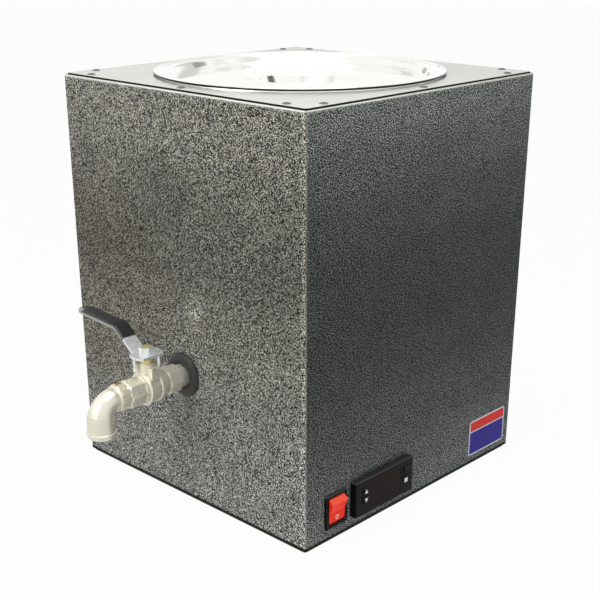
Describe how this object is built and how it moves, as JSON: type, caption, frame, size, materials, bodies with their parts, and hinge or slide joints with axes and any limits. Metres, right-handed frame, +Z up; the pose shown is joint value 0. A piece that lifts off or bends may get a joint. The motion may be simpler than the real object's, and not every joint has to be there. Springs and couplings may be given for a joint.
{
  "type": "candle wax melter",
  "caption": "Square cabinet wax melter with a hanging round pot, dished lid, panel controller, rocker switch and a lever ball valve with a downward elbow.",
  "frame": {"origin": "middle of the whole object's box, on the floor under the feet", "axes": "+X out of the control face, -Y out of the valve face, +Y to the back, +Z up"},
  "size_m": [0.3128, 0.4326, 0.3917],
  "materials": {
    "hammertone": "silver-vein hammertone powder coat",
    "satin_stainless": "satin",
    "mirror_stainless": "mirror polished",
    "plated_steel": "zinc plated",
    "galvanised_sheet": "galvanised sheet",
    "nickel_brass": "nickel plated, satin",
    "brass": "plain brass",
    "black_rubber": "matt rubber",
    "black_vinyl": "soft vinyl",
    "white_ptfe": "plain",
    "black_plastic": "fine grained moulding",
    "black_nylon": "plain nylon",
    "orange_plastic": "plain",
    "red_rocker": "translucent red",
    "dark_window": "smoked red window",
    "key_rubber": "soft keys",
    "mica_band": "heat tinted steel band",
    "ceramic": "glazed ceramic",
    "glass_wool": "needled glass wool",
    "white_moulding": "plain moulding"
  },
  "bodies": {
    "case": {"cabinet": "hammertone", "top_plate": "satin_stainless", "top_plate_screws": "plated_steel", "base_plate": "galvanised_sheet", "base_plate_screws": "plated_steel", "rubber_feet": "black_rubber", "foot_screws": "plated_steel", "foot_nuts": "plated_steel", "melting_pot": "mirror_stainless", "pot_socket": "satin_stainless", "band_heater": "mica_band", "heater_clamp_screw": "plated_steel", "heater_terminals": "ceramic", "insulation_jacket": "glass_wool", "jacket_straps": "plated_steel", "temperature_probe": "satin_stainless", "probe_clip": "satin_stainless", "high_limit_cutout": "black_plastic", "drain_pipe": "nickel_brass", "wall_grommet": "black_rubber", "valve_body": "nickel_brass", "valve_end_cap": "nickel_brass", "ball_seats": "white_ptfe", "stem_packing": "white_ptfe", "gland_nut": "brass", "elbow": "nickel_brass", "controller_case": "black_plastic", "controller_clips": "orange_plastic", "controller_bezel": "black_plastic", "display_window": "dark_window", "switch_housing": "black_plastic", "switch_terminals": "plated_steel", "cable_gland": "black_nylon", "cable_gland_lock_nut": "black_nylon", "cable_gland_seal": "black_rubber", "cable_gland_dome_nut": "black_nylon", "terminal_block": "white_moulding", "terminal_block_screws": "plated_steel"},
    "lid_lifted": {"lid": "mirror_stainless", "lid_handle": "mirror_stainless"},
    "valve_lever": {"lever": "plated_steel", "lever_grip": "black_vinyl", "lever_nut": "plated_steel", "valve_stem": "brass", "valve_ball": "mirror_stainless"},
    "rocker": {"switch_rocker": "red_rocker"},
    "key_up": {"up_key": "key_rubber"},
    "key_down": {"down_key": "key_rubber"},
    "key_set": {"set_key": "key_rubber"},
    "key_power": {"power_key": "key_rubber"}
  },
  "joints": [
    {"name": "lid_lift", "type": "slide", "parent": "case", "child": "lid_lifted", "axis": [0, 0, 1], "range_m": [0, 0.12]},
    {"name": "valve_turn", "type": "hinge", "parent": "case", "child": "valve_lever", "pos_m": [-0.0039, -0.15005, 0.1344], "axis": [0, 0, 1], "range_deg": [0, 90]},
    {"name": "switch_rock", "type": "hinge", "parent": "case", "child": "rocker", "pos_m": [0.1474, -0.07025, 0.0384], "axis": [0, -1, 0], "range_deg": [0, 24]},
    {"name": "up_press", "type": "slide", "parent": "case", "child": "key_up", "axis": [-1, 0, 0], "range_m": [0, 0.0006], "stiffness_N_per_m": 400},
    {"name": "down_press", "type": "slide", "parent": "case", "child": "key_down", "axis": [-1, 0, 0], "range_m": [0, 0.0006], "stiffness_N_per_m": 400},
    {"name": "set_press", "type": "slide", "parent": "case", "child": "key_set", "axis": [-1, 0, 0], "range_m": [0, 0.0006], "stiffness_N_per_m": 400},
    {"name": "power_press", "type": "slide", "parent": "case", "child": "key_power", "axis": [-1, 0, 0], "range_m": [0, 0.0006], "stiffness_N_per_m": 400}
  ]
}
